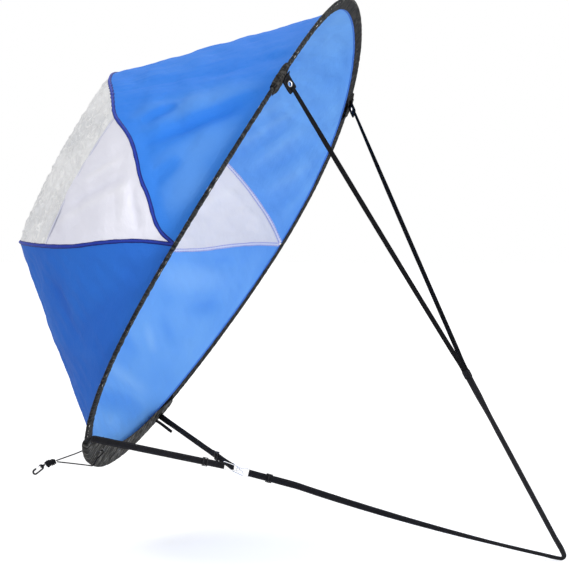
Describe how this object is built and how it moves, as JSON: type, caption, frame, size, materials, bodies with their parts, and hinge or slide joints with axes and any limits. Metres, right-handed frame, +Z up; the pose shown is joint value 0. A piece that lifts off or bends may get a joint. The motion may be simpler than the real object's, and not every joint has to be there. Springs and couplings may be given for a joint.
{
  "type": "canoe sail",
  "caption": "Round pop-up downwind canoe sail: springy hoop, deep blue and white cloth bag with a clear-film window, webbing bridle with wire rings and deck tether.",
  "frame": {"origin": "middle of the base patch's underside, where the hoop stands on the deck, on the boat's centre plane", "axes": "+Z up, +X towards the paddler and the bridle's turn, +Y across the boat towards the side with the pull loop"},
  "size_m": [1.1031, 1.083, 1.1271],
  "materials": {
    "black_sleeve": "matte woven polyester",
    "black_webbing": "woven nylon webbing and cord",
    "blue_cloth": "coated ripstop nylon",
    "white_cloth": "coated ripstop nylon",
    "window_film": "milky flexible film",
    "binding_tape": "woven tape",
    "bright_metal": "bright plated",
    "black_plastic": "moulded",
    "rod_glass": "pultruded glass fibre rod"
  },
  "bodies": {
    "hoop_and_lines": {"hoop_sleeve": "black_sleeve", "hoop_rod": "rod_glass", "hoop_ferrule": "bright_metal", "upper_blue_panel": "blue_cloth", "lower_blue_panel": "blue_cloth", "near_white_panel": "white_cloth", "far_white_panel": "white_cloth", "window_panel": "window_film", "upper_seam_binding": "binding_tape", "lower_seam_binding": "binding_tape", "upper_seam_hem": "white_cloth", "lower_seam_hem": "white_cloth", "near_window_tape": "white_cloth", "far_window_tape": "white_cloth", "base_patch": "black_sleeve", "near_base_eyelet": "bright_metal", "middle_base_eyelet": "bright_metal", "far_base_eyelet": "bright_metal", "near_lug_band": "black_sleeve", "far_lug_band": "black_sleeve", "near_lug_tab": "black_webbing", "far_lug_tab": "black_webbing", "near_lug_eyelet": "bright_metal", "far_lug_eyelet": "bright_metal", "near_bridle_branch": "black_webbing", "far_bridle_branch": "black_webbing", "fork_patch": "black_webbing", "control_strap": "black_webbing", "near_leg_strap": "black_webbing", "far_leg_strap": "black_webbing", "tether_cord": "black_webbing", "tether_knot": "black_webbing", "tether_end_loop": "black_webbing", "far_pull_loop": "black_webbing"},
    "near_leg_slider": {"near_leg_slider": "black_plastic"},
    "far_leg_slider": {"far_leg_slider": "black_plastic"},
    "control_slider": {"control_slider": "black_plastic"},
    "near_leg_ring": {"near_leg_ring": "bright_metal"},
    "far_leg_ring": {"far_leg_ring": "bright_metal"},
    "control_ring": {"control_ring": "bright_metal"},
    "hook_body": {"hook_body": "black_plastic"},
    "hook_gate": {"hook_gate": "bright_metal"}
  },
  "joints": [
    {"name": "near_leg_slider_slide", "type": "slide", "parent": "hoop_and_lines", "child": "near_leg_slider", "axis": [-0.6218, -0.7511, 0.2217], "range_m": [-0.012, 0.012]},
    {"name": "far_leg_slider_slide", "type": "slide", "parent": "hoop_and_lines", "child": "far_leg_slider", "axis": [-0.6305, 0.7368, 0.2442], "range_m": [-0.012, 0.012]},
    {"name": "control_slider_slide", "type": "slide", "parent": "hoop_and_lines", "child": "control_slider", "axis": [0.9713, 0, -0.2379], "range_m": [-0.015, 0.045]},
    {"name": "near_leg_ring_swing", "type": "hinge", "parent": "hoop_and_lines", "child": "near_leg_ring", "pos_m": [0.26044, -0.03005, 0.00578], "axis": [0.1414, 0.1707, 0.9751], "range_deg": [-1, 1]},
    {"name": "far_leg_ring_swing", "type": "hinge", "parent": "hoop_and_lines", "child": "far_leg_ring", "pos_m": [0.2679, 0.02947, -0.00347], "axis": [0.1588, -0.1855, 0.9697], "range_deg": [-1, 1]},
    {"name": "control_ring_swing", "type": "hinge", "parent": "hoop_and_lines", "child": "control_ring", "pos_m": [0.30888, 0, -0.01195], "axis": [0.2379, 0, 0.9713], "range_deg": [-1.5, 1.5]},
    {"name": "hook_swing", "type": "hinge", "parent": "hoop_and_lines", "child": "hook_body", "pos_m": [-0.07296, -0.20013, 0.0131], "axis": [-0.5241, 0.8516, 0], "range_deg": [-40, 40]},
    {"name": "hook_gate_open", "type": "hinge", "parent": "hook_body", "child": "hook_gate", "pos_m": [-0.07513, -0.20147, 0.01656], "axis": [-0.5241, 0.8516, 0], "range_deg": [-20, 0], "stiffness_Nm_per_rad": 0.002, "springref_deg": 5.73}
  ]
}
